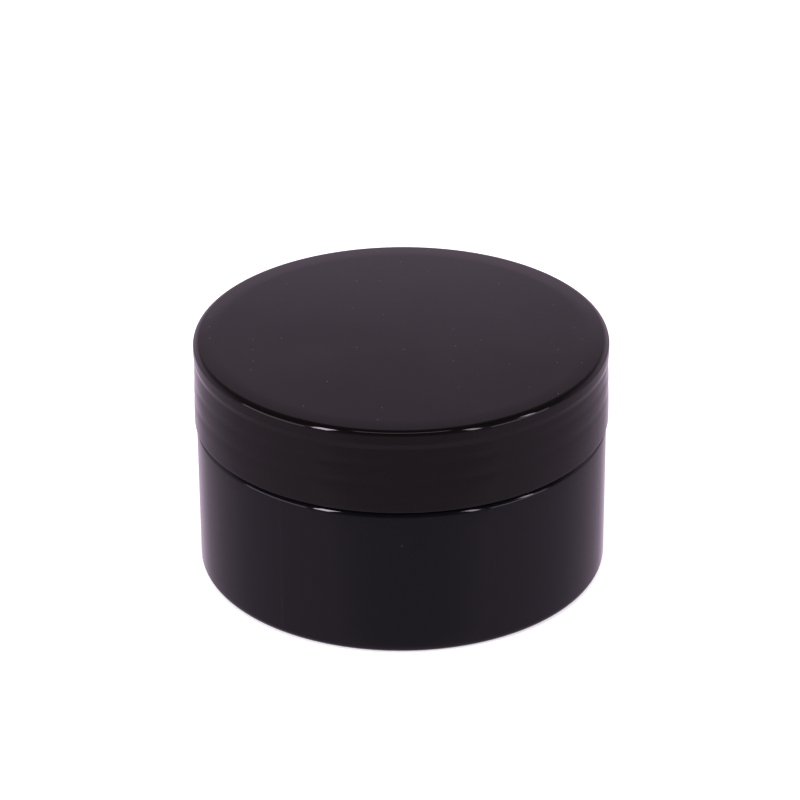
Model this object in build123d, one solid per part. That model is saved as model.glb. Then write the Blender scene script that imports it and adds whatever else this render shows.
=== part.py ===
from build123d import *
import os
from math import acos, atan, degrees, sqrt, tan

# Round screw-top tin: a drawn and necked body, a deep screw lid and a foam disc under the lid's top.
# Millimetres, +Z up. The origin is the centre of the ring that the tin stands on.
# Both pieces are thin sheet, so each is drawn as the middle line of its sheet and given its wall.

# overall
lid_dia = 84.0  # over the plain band at the foot of the lid's skirt
total_height = 50.0
lid_height = 17.75
body_step = 0.4  # the lid's band stands this far out from the top of the body's side
body_draft = 0.18  # the body's side is this much smaller in radius at its foot

# sheet
lid_wall = 0.4
body_wall = 0.4

# lid
rim_step = 0.05  # the top rim is this much smaller in radius than the band
lid_edge_r = 1.2
rim_height = 2.8  # plain collar under the top, before the skirt steps in
skirt_step = 0.2  # how far the top of the threaded skirt is drawn in from the band
skirt_ramp = 1.0  # height of the step from collar to threaded skirt
collar_bend_r = 3.0
band_height = 3.5  # the threaded skirt flares evenly out to it
band_bend_r = 30.0
hem_height = 1.6  # the sheet's lower edge is folded in, two walls thick
hem_edge_r = 0.2

# liner
liner_thick = 1.5
liner_edge_r = 0.9
liner_gap = 0.1  # to the narrowest part of the skirt

# body
foot_edge_r = 1.8
foot_ring = 3.7  # from the body's side to where the base panel starts to rise
base_rise = 0.8
base_ramp = 0.8
base_bend_r = 0.6
shoulder_r = 1.2
shoulder_root_r = 0.3
shoulder_drop = 1.65  # from the lid's lower edge to the top of the body's straight side
curl_r = 0.7  # outside of the rolled mouth
mouth_gap = 0.05  # rolled mouth to the liner, just before the foam is squeezed

# thread, right-handed: turning the lid counter-clockwise from above lifts it
pitch = 4.1
thread_foot = 5.25  # lid's lower edge to the low end of the lid's ridge
thread_head = 6.0  # lid's top to the high end of the lid's ridge
thread_phase = 7.45  # height above the lid's lower edge where the ridge crosses +X
neck_foot = 7.2  # lid's lower edge, screwed down, to the low end of the neck's bead
neck_head = 4.8  # lid's top, screwed down, to the high end of the neck's bead
ridge_r = 0.9
ridge_high = 0.55  # above the narrowest part of the skirt's inside
groove_r = 1.8
groove_deep = 0.05  # the ridge shows faintly on the outside of the skirt
bead_r = 0.9
bead_high = 0.55
crest_gap = 0.25  # neck's bead to the narrowest part of the skirt's inside
hem_gap = 0.15  # neck's bead to the lid's hem, which passes over it
flank_gap = 0.12

# what follows from these
lid_r = lid_dia / 2
rim_r = lid_r - rim_step
skirt_r = lid_r - skirt_step
body_r = lid_r - body_step
foot_r = body_r - body_draft
lid_foot = total_height - lid_height
lid_under = total_height - lid_wall
liner_under = lid_under - liner_thick
mouth_top = liner_under - mouth_gap
skirt_top = total_height - rim_height - skirt_ramp
band_top = lid_foot + band_height
flare = (lid_r - skirt_r) / (skirt_top - band_top)
skirt_in = skirt_r - lid_wall
hem_in = lid_r - 2 * lid_wall
web_r = (skirt_r + lid_r - lid_wall) / 2  # inside the skirt's sheet at every height
bead_crest = min(skirt_in - crest_gap, hem_in - hem_gap)
neck_r = bead_crest - bead_high
ridge_crest = skirt_in - ridge_high
ridge_mid_r = ridge_crest + ridge_r
bead_mid_r = bead_crest - bead_r
# the lid's ridge hangs under the neck's bead, a flank gap away
ridge_drop = sqrt((ridge_r + bead_r + flank_gap) ** 2 - (ridge_mid_r - bead_mid_r) ** 2)


def turned(section):
    """A solid of revolution about Z from a section drawn with x as radius and y as height."""
    return revolve(Plane.XZ * section, Axis.Z)


def thread_angle(z):
    """Angle from +X at which the lid's ridge reaches height z, in degrees."""
    return 360 * (z - lid_foot - thread_phase) / pitch


def helical_bar(mid_r, bar_r, cut_r, inward, low, high, start_angle, cone=0.0):
    """A round bar on the thread's helix with round ends, kept only on one side of radius cut_r."""
    path = Helix(pitch=pitch, height=high - low, radius=mid_r, cone_angle=cone)
    at = Plane(origin=path @ 0, x_dir=(1, 0, 0), z_dir=path % 0)
    side = -1 if inward else 1
    keep = Pos(cut_r - mid_r + side * bar_r * 2, 0) * Rectangle(bar_r * 4, bar_r * 4)
    bar = sweep(at * (Circle(bar_r) & keep), path=path, is_frenet=True)
    drum = Pos(0, 0, (high - low) / 2) * Cylinder(cut_r, high - low + 6 * bar_r)
    for spot in (path @ 0, path @ 1):
        ball = Pos(*spot) * Sphere(bar_r)
        bar = bar + (ball & drum if inward else ball - drum)
    return Pos(0, 0, low) * (Rot(0, 0, start_angle) * bar)


def lid_ridge():
    """The ridge inside the lid's skirt, rooted in the skirt's sheet."""
    low = lid_foot + thread_foot
    high = total_height - thread_head
    return helical_bar(ridge_mid_r, ridge_r, web_r, True, low, high, thread_angle(low))


def lid_groove():
    """What is taken off the outside of the flared skirt along the ridge."""
    low = lid_foot + thread_foot
    high = total_height - thread_head
    outside = skirt_r + flare * (skirt_top - low)
    mid_r = outside - groove_deep + groove_r
    cone = -degrees(atan(flare))
    return helical_bar(mid_r, groove_r, outside + 0.1, True, low, high, thread_angle(low), cone)


def neck_thread(mid_r, bar_r, cut_r):
    """A bar along the neck's thread, kept on its outer side."""
    low = lid_foot + neck_foot
    angle = thread_angle(low - ridge_drop)
    return helical_bar(mid_r, bar_r, cut_r, False, low, total_height - neck_head, angle)


def lid_shell():
    """Top, rolled edge, collar, threaded skirt, plain band and folded hem, in one sheet."""
    half = lid_wall / 2
    line = FilletPolyline(
        (0, total_height - half),
        (rim_r - half, total_height - half),
        (rim_r - half, skirt_top + skirt_ramp),
        (skirt_r - half, skirt_top),
        (lid_r - half, band_top),
        (lid_r - half, lid_foot + lid_wall),
        radius=(lid_edge_r - half, collar_bend_r, collar_bend_r, band_bend_r),
    )
    hem = RectangleRounded(2 * lid_wall, hem_height, hem_edge_r)
    section = trace(line, lid_wall) + Pos(lid_r - lid_wall, lid_foot + hem_height / 2) * hem
    shell = turned(section)
    shell += lid_ridge()
    shell -= lid_groove()
    return shell


def lid_liner():
    """Foam disc that seals on the rolled mouth."""
    disc = Pos(0, 0, liner_under) * Cylinder(
        skirt_in - liner_gap, liner_thick, align=(Align.CENTER, Align.CENTER, Align.MIN)
    )
    return fillet(disc.edges().sort_by(Axis.Z)[-1], liner_edge_r)


def tin_body():
    """Base with a standing ring, side, shoulder, threaded neck and mouth rolled inwards, in one sheet."""
    half = body_wall / 2
    side_mid = body_r - half
    neck_mid = neck_r - half
    foot_mid = foot_r - half
    ring_in = foot_r - foot_ring
    out_r = shoulder_r - half
    root_r = shoulder_root_r + half
    shift = side_mid - neck_mid
    # the shoulder's slope from upright, a little more than its two bends need
    slope = acos(max(0.0, 1 - shift / (1.04 * (out_r + root_r))))
    bend_low = lid_foot - shoulder_drop + out_r * tan(slope / 2)
    bend_high = bend_low + shift / tan(slope)
    curl_mid = curl_r - half
    wall_line = FilletPolyline(
        (0, base_rise + half),
        (ring_in - base_ramp, base_rise + half),
        (ring_in, half),
        (foot_mid, half),
        (side_mid, bend_low),
        (neck_mid, bend_high),
        (neck_mid, mouth_top - curl_r),
        radius=(base_bend_r, base_bend_r, foot_edge_r - half, out_r, root_r),
    )
    curl_line = JernArc((neck_mid, mouth_top - curl_r), (0, 1), curl_mid, 270)
    section = trace(wall_line, body_wall) + trace(curl_line, body_wall)
    shell = turned(section)
    shell += neck_thread(bead_mid_r, bead_r, neck_r - half)
    shell -= neck_thread(bead_mid_r, bead_r - body_wall, neck_r - body_wall - 0.1)
    return shell


nodes = {"tin_body": tin_body, "lid_shell": lid_shell, "lid_liner": lid_liner}

os.makedirs("parts", exist_ok=True)
for name, make in nodes.items():
    shape = make()
    box = shape.bounding_box()
    print(name, len(shape.solids()), "solid", round(shape.volume, 1), "mm3", box.min, box.max)
    export_step(shape, f"parts/{name}.step")
print("thread: lid turns", round((lid_height - thread_foot - thread_head) / pitch, 2))
print("thread: neck turns", round((lid_height - neck_foot - neck_head) / pitch, 2))
print("thread: ridge under bead", round(ridge_drop, 3))
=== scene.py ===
from math import cos, pi, radians, sin

import bpy
import numpy as np
from mathutils import Matrix, Vector


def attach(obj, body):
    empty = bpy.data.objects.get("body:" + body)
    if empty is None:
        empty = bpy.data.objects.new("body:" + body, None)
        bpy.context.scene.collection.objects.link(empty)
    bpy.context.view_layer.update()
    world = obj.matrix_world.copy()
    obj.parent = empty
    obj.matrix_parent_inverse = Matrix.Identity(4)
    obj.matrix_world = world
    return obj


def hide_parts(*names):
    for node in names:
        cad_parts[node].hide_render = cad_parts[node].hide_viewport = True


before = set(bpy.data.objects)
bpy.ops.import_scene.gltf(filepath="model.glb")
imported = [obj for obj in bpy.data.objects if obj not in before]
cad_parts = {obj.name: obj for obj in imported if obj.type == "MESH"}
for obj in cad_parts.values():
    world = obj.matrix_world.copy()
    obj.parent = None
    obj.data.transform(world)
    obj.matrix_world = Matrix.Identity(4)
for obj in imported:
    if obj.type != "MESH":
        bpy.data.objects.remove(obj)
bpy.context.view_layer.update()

mm = 0.001

# sizes both parts share, in millimetres
tin = dict(height=50.0, lidHeight=17.75, lidRadius=42.0, columns=360)
# right-handed screw: the ridge line's height rises by one pitch for each turn from +X towards +Y
thread = dict(pitch=4.1, ridgeCrossing=39.7, ridgeUnderBead=1.061)


def smoothRamp(x):
    x = np.clip(x, 0.0, 1.0)
    return x * x * (3 - 2 * x)


def screwWave(angle, height, crossing, low, high, halfWidth, fade):
    # Raised cosine across the nearest turn of the helix. Its centre line stands at
    # crossing + pitch * angle / 2 pi + any whole number of pitches, and the wave fades out
    # past the helix's low and high ends.
    turn = (height - crossing) / thread["pitch"] - angle / (2 * pi)
    away = (turn - np.round(turn)) * thread["pitch"]
    centre = height - away
    wave = np.where(np.abs(away) < halfWidth, 0.5 + 0.5 * np.cos(pi * away / halfWidth), 0.0)
    return wave * smoothRamp((centre - low) / fade) * smoothRamp((high - centre) / fade)


def bentLine(corners, radii, spacings, arcStep=7.0):
    # Middle line of a bent sheet: straight runs between corners, each corner rounded by a tangent arc.
    # Gives the points (radius, height) and the unit normal on the left of the way it runs.
    corners = np.array(corners, float)
    ways = np.diff(corners, axis=0)
    ways /= np.linalg.norm(ways, axis=1)[:, None]
    points, normals = [], []
    here = corners[0]
    for k, way in enumerate(ways):
        last = k == len(ways) - 1
        if last:
            there, reach = corners[-1], 0.0
        else:
            nextWay = ways[k + 1]
            bend = np.arctan2(way[0] * nextWay[1] - way[1] * nextWay[0], way @ nextWay)
            reach = radii[k] * np.tan(abs(bend) / 2)
            there = corners[k + 1] - way * reach
        left = np.array([-way[1], way[0]])
        count = max(1, int(np.ceil(np.linalg.norm(there - here) / spacings[k])))
        steps = np.linspace(0, 1, count + 1)[:, None]
        points.append(here + (there - here) * steps)
        normals.append(np.repeat(left[None], count + 1, axis=0))
        if last:
            break
        side = np.sign(bend)
        centre = there + left * radii[k] * side
        count = max(3, int(np.ceil(abs(np.degrees(bend)) / arcStep)))
        turn = np.linspace(0, bend, count + 1)[1:-1, None]
        turned = np.hstack([left[0] * np.cos(turn) - left[1] * np.sin(turn),
                            left[0] * np.sin(turn) + left[1] * np.cos(turn)])
        points.append(centre - turned * radii[k] * side)
        normals.append(turned)
        here = corners[k + 1] + nextWay * reach
    points, normals = np.vstack(points), np.vstack(normals)
    keep = np.r_[True, np.linalg.norm(np.diff(points, axis=0), axis=1) > 1e-6]
    return points[keep], normals[keep]


def arcPoints(centre, radius, start, end, count):
    turn = np.radians(np.linspace(start, end, count))
    return np.stack([centre[0] + radius * np.cos(turn), centre[1] + radius * np.sin(turn)], axis=1)


def roundPiece(name, profile, shift, slots):
    # Surface of revolution on a grid of profile row and angle:
    # x = (r + shift) cos a, y = (r + shift) sin a, z = height.
    # The first and last rows are single points on the axis, closed with a fan.
    columns = tin["columns"]
    angle = np.arange(columns) * 2 * pi / columns
    rows = profile[1:-1]
    height = np.repeat(rows[:, 1:2], columns, axis=1)
    radius = rows[:, 0:1] + shift(rows, angle[None, :], height)
    x, y = radius * np.cos(angle), radius * np.sin(angle)
    ring = np.stack([x, y, height], axis=2).reshape(-1, 3)
    verts = np.vstack([[[0, 0, profile[0, 1]]], ring, [[0, 0, profile[-1, 1]]]]) * mm
    first = 1 + np.arange(len(rows) - 1)[:, None] * columns
    j = np.arange(columns)[None, :]
    k = (j + 1) % columns
    quads = np.stack([first + j, first + columns + j, first + columns + k, first + k], axis=2).reshape(-1, 4)
    j, k = j[0], k[0]
    base = 1 + (len(rows) - 1) * columns
    fanIn = np.stack([np.zeros_like(j), 1 + j, 1 + k], axis=1)
    fanOut = np.stack([base + j, np.full_like(j, base + columns), base + k], axis=1)
    mesh = bpy.data.meshes.new(name)
    mesh.from_pydata(verts.tolist(), [], fanIn.tolist() + quads.tolist() + fanOut.tolist())
    rowSlot = np.asarray(slots)
    index = np.concatenate([np.full(columns, rowSlot[0]), np.repeat(rowSlot[1:-1], columns),
                            np.full(columns, rowSlot[-1])])
    mesh.polygons.foreach_set("material_index", index.astype(np.int32))
    mesh.polygons.foreach_set("use_smooth", np.ones(len(index), bool))
    mesh.update()
    obj = bpy.data.objects.new(name, mesh)
    bpy.context.collection.objects.link(obj)
    return obj


def linearColour(code):
    # sRGB hex to linear light
    part = np.array([int(code[i:i + 2], 16) for i in (0, 2, 4)]) / 255
    part = np.where(part <= 0.04045, part / 12.92, ((part + 0.055) / 1.055) ** 2.4)
    return (*part.tolist(), 1.0)


def addNode(tree, kind, settings=None, links=None):
    # a node with its properties or input values, and what feeds its inputs
    node = tree.nodes.new(kind)
    for key, value in (settings or {}).items():
        if isinstance(key, str) and hasattr(node, key):
            setattr(node, key, value)
        else:
            node.inputs[key].default_value = value
    for key, source in (links or {}).items():
        tree.links.new(source, node.inputs[key])
    return node


def newMaterial(name):
    material = bpy.data.materials.new(name)
    material.use_nodes = True
    material.node_tree.nodes.clear()
    return material, material.node_tree


def texture(tree, kind, size, coords, settings=None):
    # a pattern whose cells or waves measure size millimetres in the piece's own coordinates
    return addNode(tree, kind, {"Scale": 1 / (size * mm), **(settings or {})}, {"Vector": coords})


def reckon(tree, operation, first, second):
    # one sum on two values, the second a socket or a plain number
    settings = {"operation": operation}
    links = {0: first}
    if isinstance(second, (int, float)):
        settings[1] = second
    else:
        links[1] = second
    return addNode(tree, "ShaderNodeMath", settings, links).outputs[0]


def mapValue(tree, value, settings):
    return addNode(tree, "ShaderNodeMapRange", settings, {"Value": value}).outputs[0]


def channels(tree, colour):
    return addNode(tree, "ShaderNodeSeparateColor", links={"Color": colour}).outputs


def mixColour(tree, share, first, second):
    # first and second are each a fixed colour or a socket
    settings, links = {"data_type": "RGBA"}, {0: share}
    for place, colour in ((6, first), (7, second)):
        (settings if isinstance(colour, tuple) else links)[place] = colour
    return addNode(tree, "ShaderNodeMix", settings, links).outputs[2]


# Gloss black lacquer, roller coated on aluminium sheet and baked before drawing: a clean mirror over black,
# with a slight orange peel, patches a little duller than the rest, and a few grains of dust and fine hairlines.
lacquer = dict(
    lidColour="0a0808", bodyColour="08080b", dustColour="8a8686", lidIor=1.395, bodyIor=1.407,
    roughness=0.07, patchSize=18.0, peelSize=1.6, peelDepth=0.0012, dullBump=0.5)
dust = dict(cell=5.0, size=0.11, sparse=0.88)
settled = dict(cell=5.0, size=0.17, share=0.3, strength=0.3, weakest=0.15)
hairline = dict(cell=16.0, sparse=0.9, strength=0.06, outer=0.07, inner=0.03, stretch=6.0)
seam = dict(colour="121115", angle=-125.5, outer=0.16, inner=0.05, frontOnly=0.03)


def speckMask(tree, cells, size, cell):
    # full inside 0.6 of the speck's radius, fading out at its edge; distances are shares of a cell
    return mapValue(tree, cells.outputs["Distance"], {"From Min": size / cell, "From Max": 0.6 * size / cell})


def dustMarks(tree, coords):
    # grains a fifth of a millimetre across, at the middle of about one cell in eight
    cells = texture(tree, "ShaderNodeTexVoronoi", dust["cell"], coords)
    chosen = reckon(tree, "GREATER_THAN", channels(tree, cells.outputs["Color"])[0], dust["sparse"])
    return reckon(tree, "MULTIPLY", chosen, speckMask(tree, cells, dust["size"], dust["cell"]))


def hairlineMarks(tree, coords):
    # thin faint streaks at the middle of a few stretched cells
    stretched = addNode(tree, "ShaderNodeMapping",
                        {"Rotation": (0.3, 0.2, 0.7), "Scale": (1.0, hairline["stretch"], 1.0)},
                        {"Vector": coords}).outputs[0]
    cells = texture(tree, "ShaderNodeTexVoronoi", hairline["cell"], stretched)
    chosen = reckon(tree, "GREATER_THAN", channels(tree, cells.outputs["Color"])[1], hairline["sparse"])
    line = mapValue(tree, cells.outputs["Distance"], {
        "From Min": hairline["outer"], "From Max": hairline["inner"]})
    return reckon(tree, "MULTIPLY", reckon(tree, "MULTIPLY", chosen, line), hairline["strength"])


def settledMarks(tree, coords, flatHeight):
    # dust settled on the flat top: specks of uneven strength in about three cells in ten
    cells = texture(tree, "ShaderNodeTexVoronoi", settled["cell"], coords, {"voronoi_dimensions": "2D"})
    draw = channels(tree, cells.outputs["Color"])
    chosen = reckon(tree, "LESS_THAN", draw[0], settled["share"])
    uneven = mapValue(tree, draw[1], {
        "To Min": settled["weakest"] * settled["strength"], "To Max": settled["strength"]})
    height = addNode(tree, "ShaderNodeSeparateXYZ", links={"Vector": coords}).outputs["Z"]
    onTop = reckon(tree, "GREATER_THAN", height, flatHeight * mm)
    kept = reckon(tree, "MULTIPLY", chosen, speckMask(tree, cells, settled["size"], settled["cell"]))
    return reckon(tree, "MULTIPLY", reckon(tree, "MULTIPLY", kept, onTop), uneven)


def seamMask(tree, coords):
    # one faint line straight up the side, about a fifth of a millimetre wide
    atLine = addNode(tree, "ShaderNodeMapping",
                     {"vector_type": "TEXTURE", "Rotation": (0, 0, radians(seam["angle"]))}, {"Vector": coords})
    parts = addNode(tree, "ShaderNodeSeparateXYZ", links={"Vector": atLine.outputs[0]})
    off = addNode(tree, "ShaderNodeMath", {"operation": "ABSOLUTE"}, {0: parts.outputs["Y"]}).outputs[0]
    line = mapValue(tree, off, {"From Min": seam["outer"] * mm, "From Max": seam["inner"] * mm})
    return reckon(tree, "MULTIPLY", line, reckon(tree, "GREATER_THAN", parts.outputs["X"], seam["frontOnly"]))


def blackLacquer(name, colour, ior, withSeam=False, flatHeight=None):
    material, tree = newMaterial(name)
    coords = addNode(tree, "ShaderNodeTexCoord").outputs["Object"]
    patches = texture(tree, "ShaderNodeTexNoise", lacquer["patchSize"], coords, {"Detail": 3.0})
    dullness = mapValue(tree, patches.outputs["Fac"], {
        "From Min": 0.35, "From Max": 0.7,
        "To Min": lacquer["roughness"] * 0.8, "To Max": lacquer["roughness"] * 1.5})
    marks = reckon(tree, "MAXIMUM", dustMarks(tree, coords), hairlineMarks(tree, coords))
    if flatHeight is not None:
        marks = reckon(tree, "MAXIMUM", marks, settledMarks(tree, coords, flatHeight))
    base = mixColour(tree, marks, linearColour(colour), linearColour(lacquer["dustColour"]))
    if withSeam:
        base = mixColour(tree, seamMask(tree, coords), base, linearColour(seam["colour"]))
    rough = addNode(tree, "ShaderNodeMath", {"operation": "MULTIPLY_ADD", 1: lacquer["dullBump"]},
                    {0: marks, 2: dullness}).outputs[0]
    peel = texture(tree, "ShaderNodeTexNoise", lacquer["peelSize"], coords, {"Detail": 2.0})
    bump = addNode(tree, "ShaderNodeBump", {"Strength": 1.0, "Distance": lacquer["peelDepth"] * mm},
                   {"Height": peel.outputs["Fac"]}).outputs[0]
    shader = addNode(tree, "ShaderNodeBsdfPrincipled", {"IOR": ior, "Metallic": 0.0},
                     {"Base Color": base, "Roughness": rough, "Normal": bump})
    addNode(tree, "ShaderNodeOutputMaterial", links={"Surface": shader.outputs[0]})
    return material


# Drawn aluminium sheet under a clear lacquer, the plain inside of the tin: bright metal with fine upright
# draw marks.
bareMetal = dict(colour="c9c9ca", shade="b9babb", cloudSize=9.0, roughness=0.3, drawMark=0.35, drawLength=12.0,
                 markDepth=0.004)


def drawnAluminium(name):
    material, tree = newMaterial(name)
    coords = addNode(tree, "ShaderNodeTexCoord").outputs["Object"]
    across, along = 1 / (bareMetal["drawMark"] * mm), 1 / (bareMetal["drawLength"] * mm)
    stretched = addNode(tree, "ShaderNodeMapping", {"Scale": (across, across, along)},
                        {"Vector": coords}).outputs[0]
    marks = addNode(tree, "ShaderNodeTexNoise", {"Scale": 1.0, "Detail": 4.0},
                    {"Vector": stretched}).outputs["Fac"]
    cloud = texture(tree, "ShaderNodeTexNoise", bareMetal["cloudSize"], coords, {"Detail": 2.0}).outputs["Fac"]
    rough = mapValue(tree, marks, {
        "To Min": bareMetal["roughness"] * 0.75, "To Max": bareMetal["roughness"] * 1.3})
    tint = mixColour(tree, cloud, linearColour(bareMetal["colour"]), linearColour(bareMetal["shade"]))
    bump = addNode(tree, "ShaderNodeBump", {"Strength": 0.5, "Distance": bareMetal["markDepth"] * mm},
                   {"Height": marks}).outputs[0]
    shader = addNode(tree, "ShaderNodeBsdfPrincipled", {"Metallic": 1.0},
                     {"Base Color": tint, "Roughness": rough, "Normal": bump})
    addNode(tree, "ShaderNodeOutputMaterial", links={"Surface": shader.outputs[0]})
    return material


# Expanded polyethylene foam with a skin, cut from sheet: soft white, pebbled by cells under a millimetre, with
# painted shade darkening the dips between the cells.
foam = dict(colour="e6e5df", shade="cfcdc6", cell=0.6, waveSize=4.0, pebbleDepth=0.08, roughness=0.75)


def cutFoam(name):
    material, tree = newMaterial(name)
    coords = addNode(tree, "ShaderNodeTexCoord").outputs["Object"]
    cells = texture(tree, "ShaderNodeTexVoronoi", foam["cell"], coords).outputs["Distance"]
    waves = texture(tree, "ShaderNodeTexNoise", foam["waveSize"], coords, {"Detail": 3.0}).outputs["Fac"]
    # painted shade: the colour darkens towards each cell's border, the same places where the bump below sinks
    # into dips
    edge = mapValue(tree, cells, {"From Min": 0.1, "From Max": 0.8})
    tint = mixColour(tree, edge, linearColour(foam["colour"]), linearColour(foam["shade"]))
    height = addNode(tree, "ShaderNodeMath", {"operation": "MULTIPLY_ADD", 1: -0.6},
                     {0: cells, 2: waves}).outputs[0]
    bump = addNode(tree, "ShaderNodeBump", {"Strength": 0.7, "Distance": foam["pebbleDepth"] * mm},
                   {"Height": height}).outputs[0]
    shader = addNode(tree, "ShaderNodeBsdfPrincipled", {"Roughness": foam["roughness"], "IOR": 1.5},
                     {"Base Color": tint, "Normal": bump})
    addNode(tree, "ShaderNodeOutputMaterial", links={"Surface": shader.outputs[0]})
    return material


lidLacquer = blackLacquer("glossBlackLacquerLid", lacquer["lidColour"], lacquer["lidIor"], flatHeight=49.95)
bodyLacquer = blackLacquer("glossBlackLacquerBody", lacquer["bodyColour"], lacquer["bodyIor"], withSeam=True)
insideMetal = drawnAluminium("drawnAluminiumInside")
foamSkin = cutFoam("cutPolyethyleneFoam")
print("materials made")

# the lid: one sheet from the middle of the top to the folded hem
lid = dict(wall=0.4, rimStep=0.05, edgeRadius=1.2, rimHeight=2.8, skirtStep=0.2, ramp=1.0, bend=3.0,
           bandHeight=3.5, bandBend=30.0, hemHeight=1.6, hemRound=0.2, lipRadius=0.19,
           threadFoot=5.25, threadHead=6.0, ridgeCrest=40.85, ridgeHalf=1.0, grooveDeep=0.036, grooveHalf=1.5)


def makeLid():
    half = lid["wall"] / 2
    top, foot = tin["height"], tin["height"] - tin["lidHeight"]
    rim, skirt, band = tin["lidRadius"] - lid["rimStep"], tin["lidRadius"] - lid["skirtStep"], tin["lidRadius"]
    rimLow, bandTop = top - lid["rimHeight"], foot + lid["bandHeight"]
    line, left = bentLine(
        [(0, top - half), (rim - half, top - half), (rim - half, rimLow), (skirt - half, rimLow - lid["ramp"]),
         (band - half, bandTop), (band - half, foot + lid["hemRound"])],
        [lid["edgeRadius"] - half, lid["bend"], lid["bend"], lid["bandBend"]], [4.0, 0.6, 0.4, 0.17, 0.8])
    outer = line + left * half
    inner = (line - left * half)[::-1]
    # hem: round below, two walls thick, with a small rounded lip where the folded sheet ends
    hemIn = band - 2 * lid["wall"]
    lip = lid["lipRadius"]
    fold = lid["hemRound"]
    under = np.vstack([arcPoints((band - fold, foot + fold), fold, -10, -90, 8),
                       arcPoints((hemIn + fold, foot + fold), fold, -90, -180, 8),
                       arcPoints((hemIn + lip, foot + lid["hemHeight"] - lip), lip, 180, 60, 5)])
    inner = inner[inner[:, 1] > foot + lid["hemHeight"] - 0.05]
    profile = np.vstack([outer, under, inner])
    isInner = np.r_[np.zeros(len(outer) + len(under), bool), np.ones(len(inner), bool)]
    slots = np.where(np.arange(len(profile) - 1) < len(outer) + 12, 0, 1)

    def shift(rows, angle, height):
        low, high = foot + lid["threadFoot"], top - lid["threadHead"]
        crossing = thread["ridgeCrossing"]
        groove = screwWave(angle, height, crossing, low - 0.3, high + 0.3, lid["grooveHalf"], 0.6)
        ridge = screwWave(angle, height, crossing, low - 0.05, high + 0.05, lid["ridgeHalf"], 0.15)
        onSkirt = rows[:, 0:1] > skirt - 3
        inside = isInner[1:-1, None]
        toCrest = lid["ridgeCrest"] - rows[:, 0:1]
        return np.where(onSkirt, np.where(inside, toCrest * ridge, -lid["grooveDeep"] * groove), 0.0)

    obj = roundPiece("lidSkin", profile, shift, slots)
    obj.data.materials.append(lidLacquer)
    obj.data.materials.append(insideMetal)
    return obj


lidSkin = makeLid()
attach(lidSkin, "lid")
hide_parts("lid_shell")
print("lid made,", len(lidSkin.data.polygons), "faces")

# the body: one sheet from the middle of the base to the mouth, which is rolled inwards
body = dict(wall=0.4, step=0.4, draft=0.18, footRadius=1.8, footRing=3.7, baseRise=0.8, baseRamp=0.8,
            baseBend=0.6, shoulderRadius=1.2, rootRadius=0.3, shoulderDrop=1.65, neckRadius=40.5,
            mouthTop=48.05, curlRadius=0.7, threadFoot=7.2, threadHead=4.8, beadHigh=0.55, beadHalf=1.05)


def makeBody():
    half = body["wall"] / 2
    foot = tin["height"] - tin["lidHeight"]
    side, neck = tin["lidRadius"] - body["step"] - half, body["neckRadius"] - half
    footSide = side - body["draft"]
    ringIn = footSide + half - body["footRing"]
    outBend, rootBend = body["shoulderRadius"] - half, body["rootRadius"] + half
    slope = np.arccos(1 - (side - neck) / (1.04 * (outBend + rootBend)))
    bendLow = foot - body["shoulderDrop"] + outBend * np.tan(slope / 2)
    bendHigh = bendLow + (side - neck) / np.tan(slope)
    curlHeight = body["mouthTop"] - body["curlRadius"]
    line, left = bentLine(
        [(0, body["baseRise"] + half), (ringIn - body["baseRamp"], body["baseRise"] + half),
         (ringIn, half), (footSide, half), (side, bendLow), (neck, bendHigh),
         (neck, foot + body["threadFoot"] - 1.3), (neck, tin["height"] - body["threadHead"] + 1.2),
         (neck, curlHeight)],
        [body["baseBend"], body["baseBend"], body["footRadius"] - half, outBend, rootBend, 0.0, 0.0],
        [6.0, 0.3, 1.0, 3.0, 0.3, 2.0, 0.25, 0.8])
    inner = line + left * half
    outer = (line - left * half)[::-1]
    curlMiddle = (neck - body["curlRadius"] + half, curlHeight)
    curlLow = curlHeight - body["curlRadius"] + half
    curl = np.vstack([arcPoints(curlMiddle, body["curlRadius"] - body["wall"], 0, 262, 12)[1:],
                      arcPoints((curlMiddle[0], curlLow), half * 0.98, 80, -80, 5),
                      arcPoints(curlMiddle, body["curlRadius"], 270, 0, 24)[1:-1]])
    profile = np.vstack([inner, curl, outer])
    slots = np.where(np.arange(len(profile) - 1) < len(inner) + 14, 1, 0)

    def shift(rows, angle, height):
        low, high = foot + body["threadFoot"], tin["height"] - body["threadHead"]
        crossing = thread["ridgeCrossing"] + thread["ridgeUnderBead"]
        bead = screwWave(angle, height, crossing, low - 0.05, high + 0.05, body["beadHalf"], 0.15)
        onNeck = (rows[:, 0:1] > neck - 0.6) & (rows[:, 1:2] > foot + 2) & (rows[:, 1:2] < curlHeight - 0.01)
        return np.where(onNeck, body["beadHigh"] * bead, 0.0)

    obj = roundPiece("bodySkin", profile, shift, slots)
    obj.data.materials.append(bodyLacquer)
    obj.data.materials.append(insideMetal)
    return obj


bodySkin = makeBody()
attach(bodySkin, "can")
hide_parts("tin_body")
print("body made,", len(bodySkin.data.polygons), "faces")

# the liner: a foam disc pressed into the lid, its cut edge softened where the lid's corner squeezes it
liner = dict(radius=41.3, under=48.1, top=49.6, edgeRadius=0.9, cutRadius=0.15)


def makeLiner():
    r, low, high, edge, cut = (liner[k] for k in ("radius", "under", "top", "edgeRadius", "cutRadius"))
    flat = np.array([0, 0.5, 6, 12, 18, 24, 30, 35, 38, 39.6])
    topRow = np.stack([flat, np.full_like(flat, high)], axis=1)
    underRow = np.stack([flat[::-1], np.full_like(flat, low)], axis=1)
    profile = np.vstack([topRow, arcPoints((r - edge, high - edge), edge, 90, 0, 12),
                         arcPoints((r - cut, low + cut), cut, 0, -90, 5), underRow])
    obj = roundPiece("linerSkin", profile, lambda rows, angle, height: 0.0 * height, np.zeros(len(profile) - 1))
    obj.data.materials.append(foamSkin)
    return obj


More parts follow.
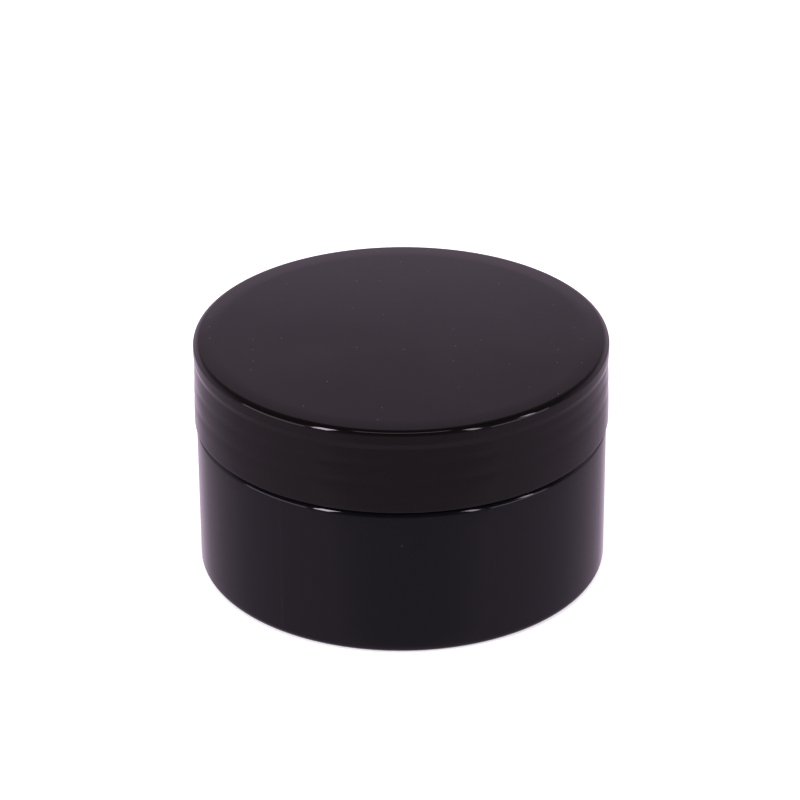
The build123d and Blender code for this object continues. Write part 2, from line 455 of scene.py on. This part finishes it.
linerSkin = makeLiner()
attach(linerSkin, "liner")
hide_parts("lid_liner")
print("liner made")

# studio: pale floor, a soft surround that is brightest low down behind the tin, and soft boxes in front of it
studio = dict(floorColour="f4f3f4", floorGlow=0.45, floorSize=6.0, cameraSide=0.06,
              mirrorTint=(1.0, 0.79, 1.02), boxTint=(1.0, 0.86, 1.02), boxAim=0.04)


def makeFloor():
    half = studio["floorSize"] / 2
    mesh = bpy.data.meshes.new("studioFloor")
    corners = [(-half, -half, 0), (half, -half, 0), (half, half, 0), (-half, half, 0)]
    mesh.from_pydata(corners, [], [(0, 1, 2, 3)])
    obj = bpy.data.objects.new("studioFloor", mesh)
    bpy.context.collection.objects.link(obj)
    material, tree = newMaterial("matteSweepPaper")
    shader = addNode(tree, "ShaderNodeBsdfPrincipled", {
        "Base Color": linearColour(studio["floorColour"]), "Roughness": 0.9, "Specular IOR Level": 0.0,
        "Emission Color": (1, 1, 1, 1), "Emission Strength": studio["floorGlow"]})
    addNode(tree, "ShaderNodeOutputMaterial", links={"Surface": shader.outputs[0]})
    mesh.materials.append(material)
    obj.visible_glossy = False


def ramp(tree, stops, source):
    node = addNode(tree, "ShaderNodeValToRGB", links={"Fac": source})
    elements = node.color_ramp.elements
    for place, value in stops[1:-1]:
        elements.new(place)
    for element, (place, value) in zip(elements, stops):
        element.position = place
        element.color = (value, value, value, 1)
    return node.outputs["Color"]


def makeSurround():
    world = bpy.data.worlds.new("softSurround")
    world.use_nodes = True
    tree = world.node_tree
    tree.nodes.clear()
    bpy.context.scene.world = world
    way = addNode(tree, "ShaderNodeTexCoord").outputs["Generated"]
    parts = addNode(tree, "ShaderNodeSeparateXYZ", links={"Vector": way})
    # below the horizon: how far the way points back and down
    tilt = addNode(tree, "ShaderNodeVectorMath", {"operation": "DOT_PRODUCT", 1: (-0.05, 0.8, -0.6)}, {0: way})
    tiltShare = mapValue(tree, tilt.outputs["Value"], {"From Min": -1.0, "From Max": 1.0})
    low = ramp(tree, [(0.0, 0.27), (0.3, 0.29), (0.345, 0.33), (0.4, 0.43), (0.74, 0.42), (0.83, 0.46),
                      (0.9, 0.5), (0.94, 0.56), (0.98, 0.8)], tiltShare)
    # above it: bright near the horizon, dark overhead
    high = ramp(tree, [(0.0, 1.0), (0.43, 0.78), (0.4387, 0.585), (0.4505, 0.435), (0.47, 0.375), (0.6, 0.2),
                       (1.0, 0.06)], parts.outputs["Z"])
    back = mapValue(tree, parts.outputs["Y"], {
        "From Min": 0.0, "From Max": 0.85, "To Min": studio["cameraSide"], "To Max": 1.0})
    highBack = reckon(tree, "MULTIPLY", high, back)
    above = mapValue(tree, parts.outputs["Z"], {"From Min": -0.05, "From Max": 0.05})
    mirrored = addNode(tree, "ShaderNodeMix", {"data_type": "FLOAT"}, {0: above, 2: low, 3: highBack})
    rays = addNode(tree, "ShaderNodeLightPath")
    strength = addNode(tree, "ShaderNodeMix", {"data_type": "FLOAT", 2: 1.0},
                       {0: rays.outputs["Is Glossy Ray"], 3: mirrored.outputs[0]})
    tint = mixColour(tree, rays.outputs["Is Glossy Ray"], (1, 1, 1, 1), (*studio["mirrorTint"], 1))
    light = addNode(tree, "ShaderNodeBackground", links={"Color": tint, "Strength": strength.outputs[0]})
    addNode(tree, "ShaderNodeOutputWorld", links={"Surface": light.outputs[0]})


def softBox(name, azimuth, elevation, distance, width, height, power):
    # azimuth from the camera's side, positive to the right; the box faces the tin
    a, e = radians(azimuth), radians(elevation)
    aim = Vector((0, 0, studio["boxAim"]))
    way = Vector((sin(a) * cos(e), -cos(a) * cos(e), sin(e))) * distance
    data = bpy.data.lights.new(name, "AREA")
    data.shape, data.size, data.size_y, data.energy = "RECTANGLE", width, height, power
    data.color = studio["boxTint"]
    obj = bpy.data.objects.new(name, data)
    bpy.context.collection.objects.link(obj)
    obj.matrix_world = Matrix.Translation(aim + way) @ way.to_track_quat("Z", "Y").to_matrix().to_4x4()
    obj.visible_camera = False
    return obj


makeFloor()
makeSurround()
softBox("boxLeft", -43, 27, 1.2, 0.18, 0.6, 5.7)
softBox("boxRight", 39, 27, 1.2, 0.1, 0.6, 1.85)
softBox("boxFarRight", 71, 22, 1.2, 0.12, 0.4, 1.35)
softBox("panelLeft", -70, 4, 1.2, 0.85, 0.34, 1.8)
softBox("panelRight", 64, 4, 1.2, 0.75, 0.34, 1.5)
softBox("boxFront", 0, 66, 1.2, 0.75, 0.17, 0.95)

shot = dict(elevation=28.2, distance=0.875, aim=(-0.0003, 0.0, 0.0352), roll=0.36, lens=193.0)


def makeCamera():
    e = radians(shot["elevation"])
    place = Vector((0, -cos(e), sin(e))) * shot["distance"] + Vector((0, 0, tin["height"] / 2 * mm))
    data = bpy.data.cameras.new("camera")
    data.lens, data.sensor_width = shot["lens"], 36
    data.clip_start, data.clip_end = 0.05, 50
    obj = bpy.data.objects.new("camera", data)
    bpy.context.collection.objects.link(obj)
    turn = (place - Vector(shot["aim"])).to_track_quat("Z", "Y").to_matrix().to_4x4()
    obj.matrix_world = Matrix.Translation(place) @ turn @ Matrix.Rotation(radians(-shot["roll"]), 4, "Z")
    bpy.context.scene.camera = obj


makeCamera()
bpy.context.scene.view_settings.view_transform = "Standard"
print("studio set")
